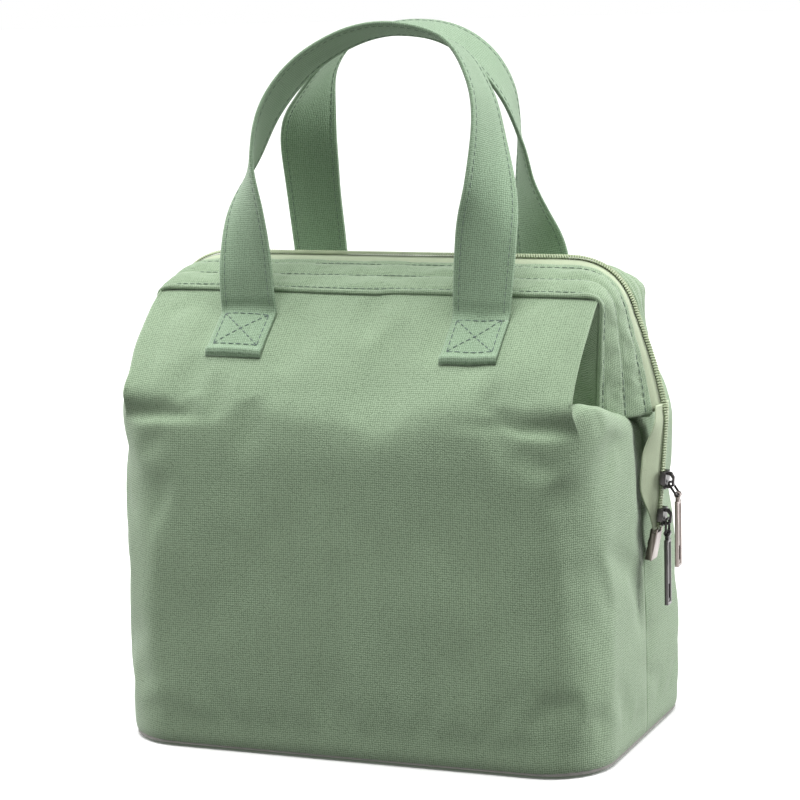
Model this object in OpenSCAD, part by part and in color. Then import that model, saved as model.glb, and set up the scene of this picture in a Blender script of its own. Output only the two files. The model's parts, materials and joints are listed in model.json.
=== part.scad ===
// Soft insulated lunch bag with a zipped, wire-framed mouth and two strap handles.
// Millimetres, +Z up, +X to the wearer's right of the front, -Y the front.
// The origin is the centre of the base.

/* [Body] */
// Width of the body, side to side
bag_w = 250; // [230:1:270]
// Depth of the body, front to back
bag_d = 162; // [150:1:174]
// Height at which the walls fold in to the roof
fold_z = 178; // [165:1:185]
// Height of the zipped ridge
ridge_z = 236; // [230:1:245]
// Corner radius of the footprint at the base
base_r = 32; // [20:1:40]
// Corner radius of the footprint at the fold
fold_r = 12; // [10:1:20]

/* [Layers] */
// Thickness of the outer cloth
cloth_t = 1.2; // [0.8:0.1:1.4]
// Thickness of the foam between cloth and foil
foam_t = 4; // [2:0.5:5]
// Thickness of the foil lining
foil_t = 0.8; // [0.4:0.1:1]

/* [Mouth frame] */
// Distance from the zip to the seam under the frame band, front to back
band_y = 33.5; // [30:0.5:38]
// Height of that seam along the top
seam_z = 221; // [216:1:224]
// Radius of the sewn-in spring wire
wire_r = 1.3; // [1:0.1:1.5]

/* [Handles] */
// Width of the strap
strap_w = 29; // [20:1:32]
// Thickness of the folded strap
strap_t = 2.2; // [1.5:0.1:3]
// Distance from the middle of the bag to the middle of each sewn strap end
strap_x = 60; // [50:1:70]
// Length of each sewn strap end
patch_l = 27; // [22:1:30]

/* [Zip pulls] */
// Height of the upper slider
upper_z = 129; // [126:1:132]
// Height of the lower slider
lower_z = 111; // [109:1:112]
// Length of a pull tab
tab_l = 35; // [25:1:36]

/* [Hidden] */
$fn = 48;

cloth_colour = [0.55, 0.63, 0.53];
tape_colour = [0.60, 0.64, 0.52];
foil_colour = [0.78, 0.79, 0.80];
foam_colour = [0.93, 0.93, 0.91];
gunmetal = [0.22, 0.21, 0.21];
nickel = [0.62, 0.58, 0.56];
steel = [0.55, 0.56, 0.58];

half_w = bag_w / 2;
half_d = bag_d / 2;
base_t = 1.2;
board_t = 2;
liner_inset = cloth_t + foam_t;
far = 400;

// The frames hinge on the fold of the cloth. The axis lies a little under the fold, so that
// the frames' lower ends swing up and never cross the middle of the bag.
hinge_z = fold_z - 6;
hinge_gap = 1;
leg_z = 163;                            // lower end of the frames' legs
wall_top = hinge_z - hinge_gap;         // top of the front and back walls
side_top = 150;                         // top of the side walls, where the gussets fold in
roof_half_w = 118;
roof_slope = atan2(seam_z - fold_z, half_d - band_y);
tape_t = 0.8;
split_gap = 0.6;                        // from the middle of the bag to each half of the zip

// Position on the mouth band, 0 at its seam and 1 at the middle of the zip
band_end = 0.78;
tape_end = 0.93;
chain_end = 1 - split_gap / band_y;

function lerp(a, b, t) = a + (b - a) * t;
function unit(v) = v / norm(v);
function bezier(a, b, c, t) = lerp(lerp(a, b, t), lerp(b, c, t), t);
function reverse(v) = [for (i = [len(v) - 1:-1:0]) v[i]];

// ---------- shared shapes ----------

module rounded_slab(inset, r, z) {
    translate([0, 0, z])
        linear_extrude(0.01)
            hull()
                for (x = [-1, 1], y = [-1, 1])
                    translate([x * (half_w - r), y * (half_d - r)])
                        circle(r - inset, $fn = 32);
}

// Solid of the body's outline pulled in by inset, cut between two heights
module body_block(inset, z0, z1) {
    intersection() {
        hull() {
            rounded_slab(inset, base_r, -5);
            rounded_slab(inset, fold_r, fold_z + 5);
        }
        translate([-far / 2, -far / 2, z0])
            cube([far, far, z1 - z0]);
    }
}

// Removes the upper part of the side walls, where the gussets fold in
module side_cut() {
    for (x = [-1, 1])
        translate([x * half_w - 22, 0, 0])
            rotate([90, 0, 90])
                linear_extrude(44)
                    polygon([
                        [-half_d + 18, side_top],
                        [half_d - 18, side_top],
                        [half_d + 2, wall_top + 2],
                        [-half_d - 2, wall_top + 2]
                    ]);
}

module wall_layer(outer, inner, z0) {
    difference() {
        body_block(outer, z0, wall_top);
        body_block(inner, z0 - 1, wall_top + 1);
        side_cut();
    }
}

module front_and_back() {
    children();
    mirror([0, 1, 0])
        children();
}

module left_and_right() {
    children();
    mirror([1, 0, 0])
        children();
}

// ---------- body ----------

module outer_wrap() {
    color(cloth_colour)
        wall_layer(0, cloth_t, 0);
}

module base_cloth() {
    color(cloth_colour)
        body_block(cloth_t, 0, base_t);
}

module base_board() {
    color("gray")
        body_block(cloth_t, base_t, base_t + board_t);
}

module foam_base() {
    color(foam_colour)
        body_block(cloth_t, base_t + board_t, base_t + board_t + foam_t);
}

module foam_wrap() {
    color(foam_colour)
        wall_layer(cloth_t, liner_inset, base_t + board_t + foam_t);
}

module foil_liner() {
    floor_z = base_t + board_t + foam_t;
    color(foil_colour)
        difference() {
            body_block(liner_inset, floor_z, wall_top);
            body_block(liner_inset + foil_t, floor_z + foil_t, wall_top + 1);
            side_cut();
        }
}

// Cloth that folds in from the top of a side wall to the frames' legs
module right_gusset() {
    reach = half_d - 20;
    color(cloth_colour)
        translate([0, reach, 0])
            rotate([90, 0, 0])
                linear_extrude(2 * reach)
                    polygon([
                        [half_w - 6, side_top + 0.2],
                        [half_w, side_top + 0.2],
                        [half_w - 2, side_top + 4],
                        [half_w - 12, leg_z - 1.5],
                        [half_w - 14, leg_z - 2.5]
                    ]);
}

module left_gusset() {
    to_left()
        right_gusset();
}

// ---------- zip tails ----------

tail_x = 134.2;                         // back face of the tail's tape
tail_top = 161.5;
tail_low = 103;
tail_lean = 4.5;                        // the tail's foot leans in towards the side wall
tail_pin = [tail_x, 0, 150];            // it leans about this point
slit = 0.9;                             // half the gap that the slider's post runs in
chain_half = 2.6;
chain_t = 1.7;

module on_tail() {
    translate(tail_pin)
        rotate([0, tail_lean, 0])
            translate(-tail_pin)
                children();
}

function tail_place(x, z) =
    let (dx = x - tail_pin[0], dz = z - tail_pin[2])
    [
        tail_pin[0] + dx * cos(tail_lean) + dz * sin(tail_lean),
        0,
        tail_pin[2] - dx * sin(tail_lean) + dz * cos(tail_lean)
    ];

// One half of the tape, which widens below the band and narrows to the clip
module tail_half_tape() {
    rotate([90, 0, 90])
        linear_extrude(tape_t)
            polygon([
                [slit, tail_top],
                [7, tail_top],
                [12.5, tail_top - 18],
                [12.5, 124],
                [5, tail_low],
                [slit, tail_low]
            ]);
}

module right_tail_tape() {
    color(tape_colour)
        on_tail()
            front_and_back()
                translate([tail_x, 0, 0])
                    tail_half_tape();
}

module right_tail_chain() {
    color(tape_colour)
        on_tail()
            front_and_back()
                translate([tail_x + tape_t, slit, tail_low + 1])
                    cube([chain_t, chain_half - slit, tail_top - tail_low - 1]);
}

// Folded metal end that grips the foot of the tail and turns in towards the side wall
module right_tail_clip() {
    clip_w = 10;
    clip_l = 16;
    clip_t = 3.2;
    grip = 2.5;
    clip_turn = 7;
    color(nickel)
        on_tail()
            difference() {
                translate([tail_x + tape_t / 2, 0, tail_low + grip])
                    rotate([0, clip_turn, 0]) {
                        translate([-clip_t / 2, -clip_w / 2, -clip_l])
                            cube([clip_t, clip_w, clip_l - 0.5]);
                        translate([-clip_t / 2 - 1, 0, -clip_l / 2])
                            rotate([0, 90, 0])
                                cylinder(r = 2, h = 1.5);
                    }
                translate([tail_x, -clip_w / 2 - 1, tail_low])
                    cube([tape_t, clip_w + 2, grip + 1]);
                translate([tail_x + tape_t, -chain_half - 0.2, tail_low])
                    cube([chain_t + 1, 2 * chain_half + 0.4, grip + 1]);
            }
}

module to_left() {
    mirror([1, 0, 0])
        children();
}

module left_tail_tape() { to_left() right_tail_tape(); }
module left_tail_chain() { to_left() right_tail_chain(); }
module left_tail_clip() { to_left() right_tail_clip(); }

// ---------- mouth frames, drawn for the front ----------

// Right half of a U-shaped edge, from its foot to the middle of its top
function half_edge(foot, shoulder, corner, top) = concat(
    [for (i = [0:3]) lerp(foot, shoulder, i / 4)],
    [for (i = [0:7]) bezier(shoulder, corner, top, i / 8)],
    [for (i = [0:3]) lerp(top, [0, top[1]], i / 4)]
);

function whole_edge(half) = concat(
    half,
    [[0, half[len(half) - 1][1]]],
    reverse([for (p = half) [-p[0], p[1]]])
);

seam_edge = whole_edge(half_edge([113, leg_z], [115.5, 208], [117, seam_z], [102, seam_z]));
zip_edge = whole_edge(half_edge([137, leg_z], [122, 211], [114, ridge_z], [88, ridge_z]));
last = len(seam_edge) - 1;

function band_xz(i, v) = lerp(seam_edge[i], zip_edge[i], v);

// Inward normal of the band's edge in its own XZ plane
function band_in(i, v) =
    let (d = unit(band_xz(min(i + 1, last), v) - band_xz(max(i - 1, 0), v)))
    [-d[1], d[0]];

function band_point(i, v, depth) =
    let (p = band_xz(i, v) + depth * band_in(i, v))
    [p[0], -band_y * (1 - v), p[1]];

// Faces of a solid swept through rings of four points
function ring_faces(rings) = concat(
    [[2, 1, 0], [3, 2, 0]],
    [for (i = [0:rings - 2], k = [0:3])
        let (a = 4 * i + k, b = 4 * i + (k + 1) % 4)
        each [[a, b, b + 4], [a, b + 4, a + 4]]],
    [for (k = [[0, 1, 2], [0, 2, 3]]) [for (j = k) 4 * (rings - 1) + j]]
);

// Strip that runs round the mouth between two places on the band and two depths
module band_strip(v0, v1, d0, d1) {
    corners = [[v0, d0], [v0, d1], [v1, d1], [v1, d0]];
    points = [for (i = [0:last], c = corners) band_point(i, c[0], c[1])];
    polyhedron(points, ring_faces(last + 1), convexity = 6);
}

// Outline of the space under the roof, seen from the side
function hood_profile(inset, extra) =
    let (rise = tan(roof_slope), drop = inset / cos(roof_slope))
    [
        [-half_d + inset, hinge_z + hinge_gap - extra],
        [-half_d + inset, fold_z + inset * rise - drop],
        [-band_y + extra, seam_z - drop + extra * rise],
        [-band_y + extra, leg_z - extra]
    ];

module hood_block(inset, extra) {
    width = roof_half_w - inset;
    translate([-width, 0, 0])
        rotate([90, 0, 90])
            linear_extrude(2 * width)
                polygon(hood_profile(inset, extra));
}

module hood_layer(outer, inner) {
    difference() {
        hood_block(outer, 0);
        hood_block(inner, 1);
    }
}

module front_roof() {
    color(cloth_colour)
        hood_layer(0, cloth_t);
}

module front_roof_foam() {
    color(foam_colour)
        hood_layer(cloth_t, liner_inset);
}

module front_roof_foil() {
    color(foil_colour)
        hood_layer(liner_inset, liner_inset + foil_t);
}

module front_band() {
    color(cloth_colour)
        band_strip(0, band_end, 0, cloth_t);
}

module front_band_lining() {
    color(foil_colour)
        band_strip(0.02, band_end, wire_depth, wire_depth + foil_t);
}

module front_zip_tape() {
    color(tape_colour)
        band_strip(band_end, tape_end, 0.4, 0.4 + tape_t);
}

module front_zip_chain() {
    color(tape_colour)
        band_strip(tape_end, chain_end, -0.4, 1.3);
}

wire_y = -20;
wire_top = 223.8;
wire_bend = 18;
wire_bend_x = 96.8;                     // centre of the bend
wire_bend_z = wire_top - wire_bend;
wire_splay = 4.5;                       // the legs spread towards their feet
wire_depth = 7.5;                       // depth of the lining that closes the wire's channel
leg_l = 40;
tip_l = 10;
tip_t = 0.5;                            // thickness of the cap over each end of the wire

// Places its children at the foot of a leg, with +Z up the leg
module at_wire_foot() {
    translate([wire_bend_x, wire_y, wire_bend_z])
        rotate([0, -wire_splay, 0])
            translate([wire_bend, 0, -leg_l])
                children();
}

module front_wire() {
    color(steel) {
        translate([-wire_bend_x, wire_y, wire_top])
            rotate([0, 90, 0])
                cylinder(r = wire_r, h = 2 * wire_bend_x);
        left_and_right() {
            at_wire_foot()
                cylinder(r = wire_r, h = leg_l);
            translate([wire_bend_x, wire_y, wire_bend_z])
                rotate([90, 0, 0])
                    rotate([0, 0, wire_splay])
                        rotate_extrude(angle = 90 - wire_splay)
                            translate([wire_bend, 0])
                                circle(wire_r);
        }
    }
}

module front_wire_tips() {
    color("white")
        left_and_right()
            at_wire_foot()
                difference() {
                    translate([0, 0, -1.5])
                        cylinder(r = wire_r + tip_t, h = tip_l);
                    cylinder(r = wire_r, h = tip_l);
                }
}

// ---------- handles, drawn for the front ----------

patch_top = [-46, fold_z + (half_d - 46) * tan(roof_slope)];
patch_end_t = 3.4;                      // folded-over lower end
patch_lift = 0.2;

module front_strap_ends() {
    color(cloth_colour)
        left_and_right()
            translate([strap_x, patch_top[0], patch_top[1]])
                rotate([roof_slope, 0, 0])
                    translate([-strap_w / 2, -patch_l, patch_lift]) {
                        cube([strap_w, patch_l, strap_t]);
                        cube([strap_w, 3, patch_end_t]);
                    }
}

handle_y = -46.5;
handle_z = patch_top[1] + 4.2;

// Middle line of a handle: x, y, z and the turn of the strap's width out of the X axis
front_route = [
    [-60, -46.5, 0, 0],
    [-61, -46, 20, 6],
    [-62, -43, 45, 30],
    [-60, -37, 70, 70],
    [-53, -29, 95, 86],
    [-36, -21, 117, 90],
    [-12, -17.5, 129, 90],
    [14, -17, 131, 90],
    [38, -18.5, 123, 90],
    [53, -24, 104, 94],
    [60, -31, 82, 104],
    [63, -38, 58, 128],
    [62, -43, 34, 160],
    [60, -46.5, 0, 180]
];
back_route = [
    [-60, -46.5, 0, 0],
    [-62, -46, 25, 4],
    [-63, -42, 55, 10],
    [-61, -35, 82, 36],
    [-51, -26, 106, 78],
    [-32, -19.5, 124, 90],
    [-8, -17, 131, 90],
    [18, -17, 129, 90],
    [38, -20, 117, 90],
    [49, -26.5, 98, 98],
    [53, -34, 76, 112],
    [53, -40, 56, 126],
    [54.5, -44, 38, 148],
    [59, -46, 18, 174],
    [60, -46.5, 0, 180]
];

function spline(a, b, c, d, t) =
    0.5 * (2 * b + (c - a) * t + (2 * a - 5 * b + 4 * c - d) * t * t
        + (3 * b - a - 3 * c + d) * t * t * t);

function smooth_route(route, steps) =
    let (n = len(route) - 1)
    concat(
        [for (i = [0:n - 1], k = [0:steps - 1])
            spline(route[max(i - 1, 0)], route[i], route[i + 1], route[min(i + 2, n)], k / steps)],
        [route[n]]
    );

function place(p) = [p[0] * strap_x / 60, p[1], p[2] + handle_z];

// Direction of the strap's width: it leans back with the loop as it turns over
strap_lean = 12;
function width_way(turn, along) =
    let (w = [cos(turn), -sin(turn) * cos(strap_lean), sin(turn) * sin(strap_lean)])
    unit(w - (w * along) * along);

module strap_loop(route) {
    line = smooth_route(route, 4);
    n = len(line) - 1;
    points = [for (i = [0:n])
        let (
            along = unit(place(line[min(i + 1, n)]) - place(line[max(i - 1, 0)])),
            w = width_way(line[i][3], along) * strap_w / 2,
            h = unit(cross(along, w)) * strap_t / 2,
            c = place(line[i])
        )
        each [c - w - h, c + w - h, c + w + h, c - w + h]];
    polyhedron(points, ring_faces(n + 1), convexity = 10);
}

module front_handle() {
    color(cloth_colour)
        strap_loop(front_route);
}

module back_handle() {
    color(cloth_colour)
        mirror([0, 1, 0])
            strap_loop(back_route);
}

// ---------- back frame ----------

module to_back() {
    mirror([0, 1, 0])
        children();
}

module back_roof() { to_back() front_roof(); }
module back_roof_foam() { to_back() front_roof_foam(); }
module back_roof_foil() { to_back() front_roof_foil(); }
module back_band() { to_back() front_band(); }
module back_band_lining() { to_back() front_band_lining(); }
module back_wire() { to_back() front_wire(); }
module back_wire_tips() { to_back() front_wire_tips(); }
module back_zip_tape() { to_back() front_zip_tape(); }
module back_zip_chain() { to_back() front_zip_chain(); }
module back_strap_ends() { to_back() front_strap_ends(); }

// ---------- sliders and pulls ----------

slider_l = 8.5;
slider_w = 8;
plate_t = 1.2;
play = 0.35;                            // clearance between slider and zip
front_x = tail_x + tape_t + chain_t + play;         // inside of the slider's front plate
pivot_x = front_x + plate_t + 1.2;      // axis of the ring in the bail
ring_r = 0.6;
ring_l = 7;
ring_w = 7;
tab_w = 6.4;
tab_t = 1.8;
eye_r = 1.6;
upper_tilt = 34;                        // the upper ring rests over the lower pull

// Slider: two plates, a post between the two halves of the zip, flanges and a bail
module slider(z) {
    bail_h = 3.4;
    back_x = tail_x - play - plate_t;
    on_tail()
        translate([0, 0, z]) {
            difference() {
                union() {
                    translate([front_x, -slider_w / 2, -slider_l / 2])
                        cube([plate_t, slider_w, slider_l]);
                    for (y = [-slider_w / 2, slider_w / 2 - 1])
                        translate([tail_x + tape_t + play, y, -slider_l / 2])
                            cube([front_x - tail_x - tape_t - play, 1, slider_l]);
                    translate([back_x, -slider_w / 2, -slider_l / 2])
                        cube([plate_t, slider_w, slider_l]);
                    translate([back_x + plate_t, -0.5, 0])
                        cube([front_x - back_x - plate_t, 1, slider_l / 2]);
                }
                for (y = [-1, 1])
                    translate([back_x - 1, y * slider_w / 2, -slider_l / 2])
                        rotate([y * 20, 0, 0])
                            translate([0, -1, -3])
                                cube([8, 2, 5]);
            }
            translate([front_x + plate_t, 0, 0])
                rotate([90, 0, 0])
                    translate([0, 0, -0.8])
                        linear_extrude(1.6)
                            difference() {
                                polygon([[0, -4], [1.6, -4], [bail_h, -2.6], [bail_h, 1.6], [1.8, 4], [0, 4]]);
                                polygon([[-0.1, -2.6], [1.4, -2.6], [2.3, -2], [2.3, 0.9], [1, 2.4], [-0.1, 2.4]]);
                            }
        }
}

// Ring: a rounded rectangle of wire that hangs from its upper bar
module ring(z, tilt) {
    bend = 1.4;
    side = ring_l - 2 * bend;
    bar = ring_w - 2 * bend - 2 * ring_r;
    translate(tail_place(pivot_x, z))
        rotate([0, -tilt, 0]) {
            for (zz = [0, -ring_l])
                translate([0, bar / 2, zz])
                    rotate([90, 0, 0])
                        cylinder(r = ring_r, h = bar, $fn = 24);
            for (y = [-1, 1])
                translate([0, y * (bar / 2 + bend), -ring_l + bend])
                    cylinder(r = ring_r, h = side, $fn = 24);
            for (y = [-1, 1], s = [0, 1])
                translate([0, y * bar / 2, s == 0 ? -bend : -ring_l + bend])
                    rotate([0, 90, 0])
                        rotate([0, 0, y > 0 ? (s == 0 ? 90 : 0) : (s == 0 ? 180 : 270)])
                            rotate_extrude(angle = 90, $fn = 24)
                                translate([bend, 0])
                                    circle(ring_r, $fn = 24);
        }
}

function ring_foot(z, tilt) =
    tail_place(pivot_x, z) + ring_l * [sin(tilt), 0, -cos(tilt)];

// Pull tab: an eye on the ring's lower bar and a rimmed plate with a slot near its end
module tab(foot) {
    eye_w = 3.4;
    rim = 1.2;
    recess = 0.4;
    neck = 3;
    translate(foot)
        difference() {
            union() {
                rotate([90, 0, 0])
                    translate([0, 0, -eye_w / 2])
                        cylinder(r = eye_r, h = eye_w);
                translate([-tab_t / 2, -eye_w / 2, -neck - 1])
                    cube([tab_t, eye_w, neck]);
                translate([-tab_t / 2, -tab_w / 2, -tab_l])
                    cube([tab_t, tab_w, tab_l - neck]);
            }
            rotate([90, 0, 0])
                translate([0, 0, -eye_w])
                    cylinder(r = ring_r + 0.3, h = 2 * eye_w);
            translate([tab_t / 2 - recess, -tab_w / 2 + rim, -tab_l + 1.5])
                cube([tab_t, tab_w - 2 * rim, tab_l - neck - 3]);
            translate([-tab_t, -1.2, -tab_l + 3])
                cube([2 * tab_t, 2.4, 7]);
        }
}

ring_z = 1;                             // the ring's bar lies this far under the slider's middle

module upper_slider() { color(gunmetal) slider(upper_z); }
module lower_slider() { color(gunmetal) slider(lower_z); }
module upper_ring() { color(gunmetal) ring(upper_z - ring_z, upper_tilt); }
module lower_ring() { color(gunmetal) ring(lower_z - ring_z, 0); }
module upper_tab() { color(nickel) tab(ring_foot(upper_z - ring_z, upper_tilt)); }
module lower_tab() { color(nickel) tab(ring_foot(lower_z - ring_z, 0)); }

outer_wrap();
base_cloth();
base_board();
foam_wrap();
foam_base();
foil_liner();
left_gusset();
right_gusset();
right_tail_tape();
right_tail_chain();
right_tail_clip();
left_tail_tape();
left_tail_chain();
left_tail_clip();
front_roof();
front_roof_foam();
front_roof_foil();
front_band();
front_band_lining();
front_wire();
front_wire_tips();
front_zip_tape();
front_zip_chain();
front_strap_ends();
back_roof();
back_roof_foam();
back_roof_foil();
back_band();
back_band_lining();
back_wire();
back_wire_tips();
back_zip_tape();
back_zip_chain();
back_strap_ends();
front_handle();
back_handle();
upper_slider();
upper_ring();
upper_tab();
lower_slider();
lower_ring();
lower_tab();
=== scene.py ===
"""Soft insulated lunch bag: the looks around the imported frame.

The geometry code works in millimetres in the row frame, and meshes are made in metres.
"""
import json
import math

import bmesh
import bpy
import numpy as np
from mathutils import Matrix, Vector, noise
from mathutils.bvhtree import BVHTree


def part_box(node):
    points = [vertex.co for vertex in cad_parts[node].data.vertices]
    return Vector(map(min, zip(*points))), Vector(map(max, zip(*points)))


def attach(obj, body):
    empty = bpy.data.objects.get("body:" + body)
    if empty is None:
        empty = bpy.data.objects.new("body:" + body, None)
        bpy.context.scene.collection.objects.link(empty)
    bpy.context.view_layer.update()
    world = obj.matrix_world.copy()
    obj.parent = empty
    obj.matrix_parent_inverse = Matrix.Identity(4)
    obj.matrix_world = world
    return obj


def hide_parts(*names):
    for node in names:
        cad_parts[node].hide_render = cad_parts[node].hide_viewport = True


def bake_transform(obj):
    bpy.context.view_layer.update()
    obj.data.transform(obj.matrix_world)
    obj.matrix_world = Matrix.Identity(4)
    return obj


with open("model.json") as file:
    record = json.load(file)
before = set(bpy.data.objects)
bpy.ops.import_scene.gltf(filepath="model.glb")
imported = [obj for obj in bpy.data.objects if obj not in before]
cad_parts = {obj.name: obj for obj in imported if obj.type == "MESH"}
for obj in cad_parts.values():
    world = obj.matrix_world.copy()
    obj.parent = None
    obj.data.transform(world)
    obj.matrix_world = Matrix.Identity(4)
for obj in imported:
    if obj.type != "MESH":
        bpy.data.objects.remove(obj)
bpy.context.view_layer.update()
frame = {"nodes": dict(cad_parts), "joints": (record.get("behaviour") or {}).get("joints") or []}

MM = 0.001


def box_mm(node):
    low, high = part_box(node)
    return np.array(low) / MM, np.array(high) / MM


def joint(name):
    return next(j for j in frame["joints"] if j["name"] == name)


# ---------- driving sizes, from the frame ----------

_, wall_high = box_mm("outer_wrap")
roof_low, roof_high = box_mm("front_roof")
band_low, band_high = box_mm("front_band")
tape_low, tape_high = box_mm("front_zip_tape")
chain_low, chain_high = box_mm("front_zip_chain")
handle_pivot = np.array(joint("front_handle_swing")["pos_m"]) / MM

HALF_W = wall_high[0]
HALF_D = wall_high[1]
SEAM_Z = roof_high[2]                   # seam under the mouth band
SEAM_Y = -roof_high[1]
RIDGE_Z = chain_high[2] - 0.4           # middle of the zip
FOOT_Z = band_low[2]                    # lower end of the band's legs
BAND_END = 0.78                         # place of the band's edge between its seam and the zip
ROOF_SLOPE = math.radians(42.2)
BASE_R = 32
FOLD_R = 24
FOLD_TOP = 178                          # the corners are down to that radius here
WALL_Z = 160                            # the front wall starts to fold in here
SIDE_Z = 157.0                          # crest of the folded side at the zip
HAND = {"front": 1, "back": -1}         # +1 on the -Y side


# ---------- camera, floor and light ----------

CAMERA_TURN, CAMERA_TILT, CAMERA_ROLL = (math.radians(a) for a in (21.99, 9.02, -1.4))
CAMERA_PLACE = (0.4956, -1.2288, 0.3728)
CAMERA_LENS, CAMERA_SENSOR = 121.8, 36
# name, place and aim in metres, width and height, power
SOFTBOXES = (
    ("left_softbox", (-1.7, 0.1, 0.7), (0, 0, 0.15), (0.7, 1.6), 26),
    ("right_softbox", (1.65, 0.95, 0.6), (0, 0, 0.12), (0.7, 1.5), 41),
    ("front_fill", (-0.3, -2.6, 1.1), (0, 0, 0.2), (1.2, 1.0), 7),
)
SUN_POWER, SUN_SPREAD, SUN_TURN = 4.25, math.radians(50), (math.radians(9), math.radians(4), 0)
AMBIENT = 0.26
FLOOR_REACH, FLOOR_DROP = 30.0, 0.0004


def add_object(name, data):
    item = bpy.data.objects.new(name, data)
    bpy.context.scene.collection.objects.link(item)
    return item


def make_camera():
    turn, tilt, roll = CAMERA_TURN, CAMERA_TILT, CAMERA_ROLL
    right = Vector((math.cos(turn), math.sin(turn), 0))
    ahead = Vector((-math.sin(turn) * math.cos(tilt), math.cos(turn) * math.cos(tilt),
                    -math.sin(tilt)))
    up = right.cross(ahead)
    side = right * math.cos(roll) + up * math.sin(roll)
    top = up * math.cos(roll) - right * math.sin(roll)
    data = bpy.data.cameras.new("camera")
    data.sensor_width = CAMERA_SENSOR
    data.lens = CAMERA_LENS
    data.clip_end = 20
    camera = add_object("camera", data)
    rows = [(side[k], top[k], -ahead[k], CAMERA_PLACE[k]) for k in range(3)]
    camera.matrix_world = Matrix((*rows, (0, 0, 0, 1)))
    bpy.context.scene.camera = camera


def make_lights():
    for name, place, aim, size, power in SOFTBOXES:
        data = bpy.data.lights.new(name, "AREA")
        data.shape = "RECTANGLE"
        data.size, data.size_y = size
        data.energy = power
        light = add_object(name, data)
        light.location = place
        light.rotation_euler = (Vector(aim) - Vector(place)).to_track_quat("-Z", "Y").to_euler()
    sky = bpy.data.lights.new("sky_sun", "SUN")
    sky.energy = SUN_POWER
    sky.angle = SUN_SPREAD
    add_object("sky_sun", sky).rotation_euler = SUN_TURN
    bpy.context.scene.view_settings.view_transform = "Standard"


def make_world():
    """Soft light from all round, and plain white where the camera sees past the floor."""
    world = bpy.data.worlds.new("studio")
    bpy.context.scene.world = world
    world.use_nodes = True
    nodes, links = world.node_tree.nodes, world.node_tree.links
    shade, white = nodes["Background"], nodes.new("ShaderNodeBackground")
    for background, strength in ((shade, AMBIENT), (white, 1.0)):
        background.inputs["Color"].default_value = (1, 1, 1, 1)
        background.inputs["Strength"].default_value = strength
    path = nodes.new("ShaderNodeLightPath")
    mix = nodes.new("ShaderNodeMixShader")
    links.new(path.outputs["Is Camera Ray"], mix.inputs["Fac"])
    links.new(shade.outputs[0], mix.inputs[1])
    links.new(white.outputs[0], mix.inputs[2])
    links.new(mix.outputs[0], nodes["World Output"].inputs["Surface"])


def make_floor():
    """A wide pale floor. It takes the bag's shadow but throws no light back up at it."""
    r = FLOOR_REACH
    mesh = bpy.data.meshes.new("floor")
    mesh.from_pydata([(-r, -r, 0), (r, -r, 0), (r, r, 0), (-r, r, 0)], [], [(0, 1, 2, 3)])
    floor = add_object("floor", mesh)
    floor.location.z = -FLOOR_DROP
    floor.visible_diffuse = False
    look = Look("floor_paper")
    look.surface({"Base Color": (0.90, 0.90, 0.895), "Roughness": 0.75})
    look.bump(look.node("TexNoise", {"Scale": 60}).outputs["Fac"], 0.04, 0.001)
    mesh.materials.append(look.material)


# ---------- materials ----------

class Look:
    """A material's nodes. An input may be given a number, a colour or another node's output."""

    def __init__(self, name):
        self.material = bpy.data.materials.new(name)
        self.material.use_nodes = True
        self.nodes, self.links = self.material.node_tree.nodes, self.material.node_tree.links

    def feed(self, node, inputs):
        for key, value in inputs.items():
            if isinstance(value, (int, float)):
                node.inputs[key].default_value = value
            elif isinstance(value, tuple):
                node.inputs[key].default_value = (*value, 1)
            elif value is not None:
                self.links.new(value, node.inputs[key])

    def node(self, kind, inputs=None, **settings):
        node = self.nodes.new("ShaderNode" + kind)
        for key, value in settings.items():
            setattr(node, key, value)
        self.feed(node, inputs or {})
        return node

    def surface(self, inputs):
        self.feed(self.nodes["Principled BSDF"], inputs)

    def place(self):
        return self.node("TexCoord").outputs["Object"]

    def maths(self, kind, *values):
        return self.node("Math", dict(enumerate(values)), operation=kind).outputs[0]

    def noise(self, scale, detail, vector, rough=0.5):
        inputs = {"Scale": scale, "Detail": detail, "Roughness": rough, "Vector": vector}
        return self.node("TexNoise", inputs).outputs["Fac"]

    def mix(self, factor, a, b):
        return self.node("Mix", {0: factor, 6: a, 7: b}, data_type="RGBA").outputs[2]

    def ramp(self, value, low, high):
        """0 at low, 1 at high, and straight between."""
        inputs = {"From Min": low, "From Max": high, "Value": value}
        return self.node("MapRange", inputs).outputs["Result"]

    def sharp_edge_mask(self, low, high, amount):
        """Mask of the mesh's sharp edges, from its pointiness."""
        edge = self.node("NewGeometry").outputs["Pointiness"]
        return self.maths("MULTIPLY", self.ramp(edge, low, high), amount)

    def bump(self, height, strength, distance):
        """Relief in the surface, with its distance in metres."""
        inputs = {"Strength": strength, "Distance": distance, "Height": height}
        self.surface({"Normal": self.node("Bump", inputs).outputs[0]})


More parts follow.
